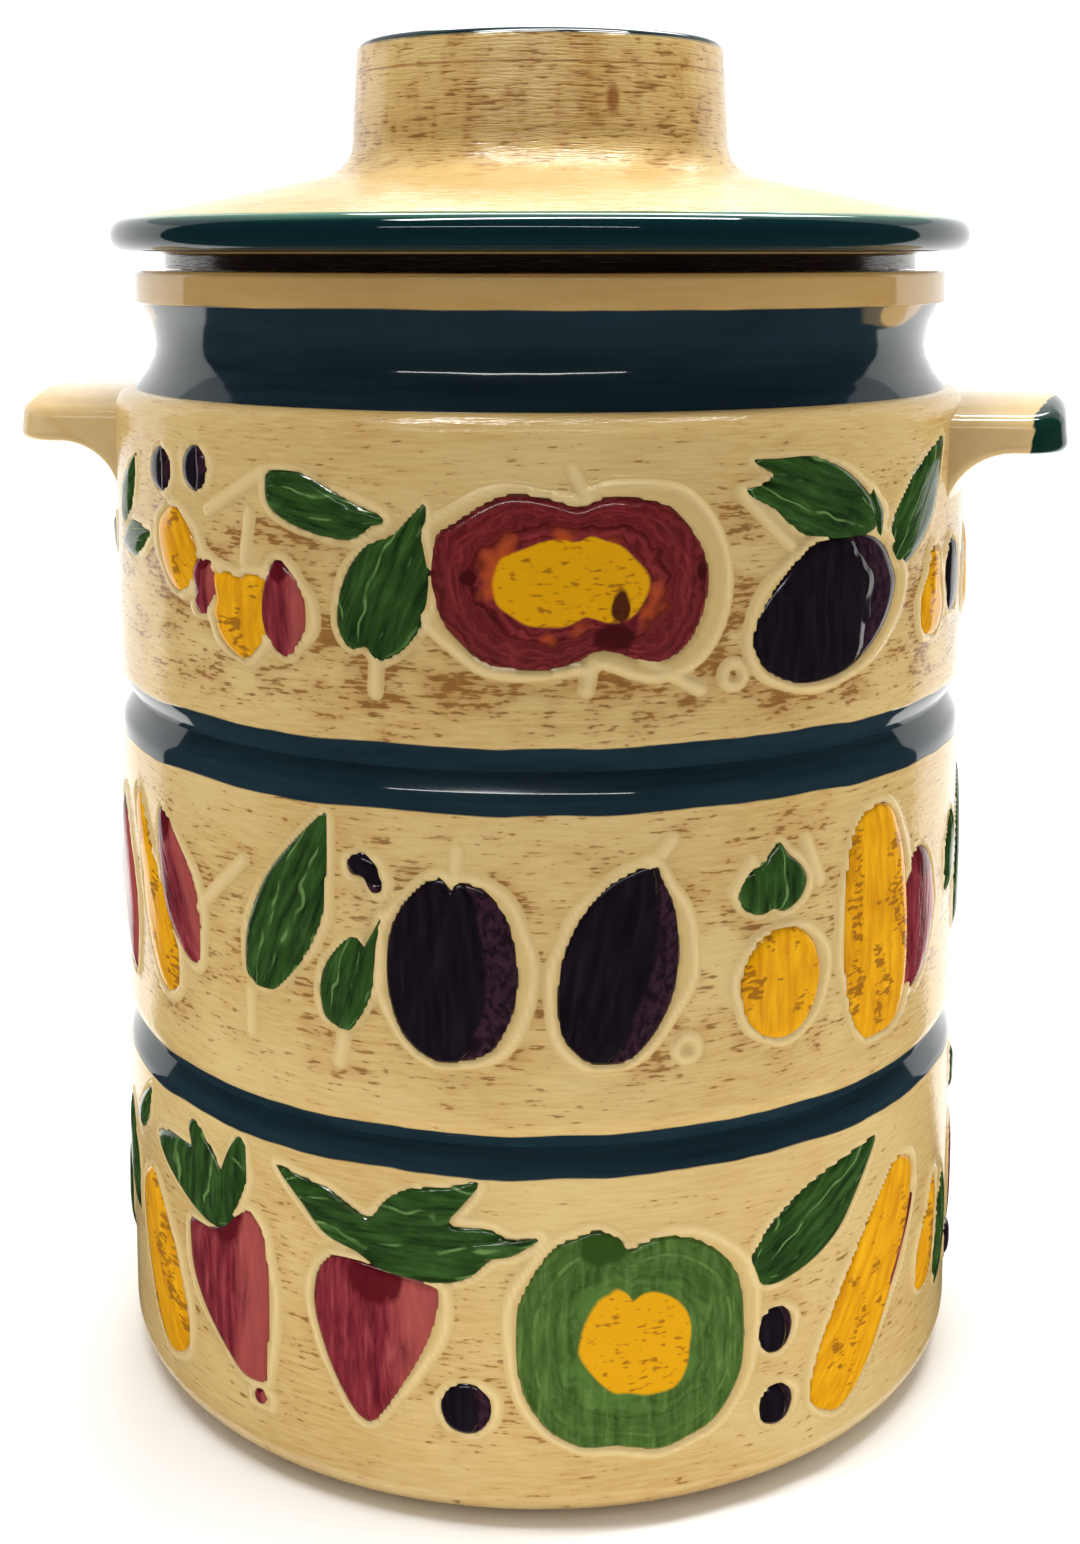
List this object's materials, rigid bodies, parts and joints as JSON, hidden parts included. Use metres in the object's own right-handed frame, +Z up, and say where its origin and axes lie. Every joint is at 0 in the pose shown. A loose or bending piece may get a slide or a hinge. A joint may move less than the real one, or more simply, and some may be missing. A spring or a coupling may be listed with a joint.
{
  "type": "rumtopf pot",
  "caption": "Tall round glazed earthenware crock with stacked drums, side lugs and low fruit sprigs, for layering fruit in spirit, closed by a loose lid with an open collar knob.",
  "frame": {"origin": "centre of the foot, on the surface that the pot stands on", "axes": "+Z up along the pot's axis, +X towards the right lug, -Y towards the viewer, the side that the picture shows"},
  "size_m": [0.2316, 0.1908, 0.2899],
  "materials": {
    "cream_glaze": "glossy cream glaze with a thin brown wash, navy bands and a teal lid rim",
    "leaf_green_glaze": "glossy dark green brushed glaze",
    "aubergine_glaze": "glossy near-black purple brushed glaze",
    "burgundy_glaze": "glossy wine-red brushed glaze",
    "pepper_green_glaze": "glossy mid green brushed glaze",
    "yellow_glaze": "glossy egg-yellow brushed glaze"
  },
  "bodies": {
    "pot": {"pot_body": "cream_glaze", "left_handle": "cream_glaze", "right_handle": "cream_glaze", "leaf_relief": "leaf_green_glaze", "plum_relief": "aubergine_glaze", "berry_relief": "aubergine_glaze", "apple_relief": "burgundy_glaze", "strawberry_relief": "burgundy_glaze", "pepper_relief": "pepper_green_glaze", "pear_relief": "yellow_glaze"},
    "lid": {"lid": "cream_glaze", "lid_knob": "cream_glaze"}
  },
  "joints": [
    {"name": "lid_lift", "type": "slide", "parent": "pot", "child": "lid", "axis": [0, 0, 1], "range_m": [0, 0.12]}
  ]
}
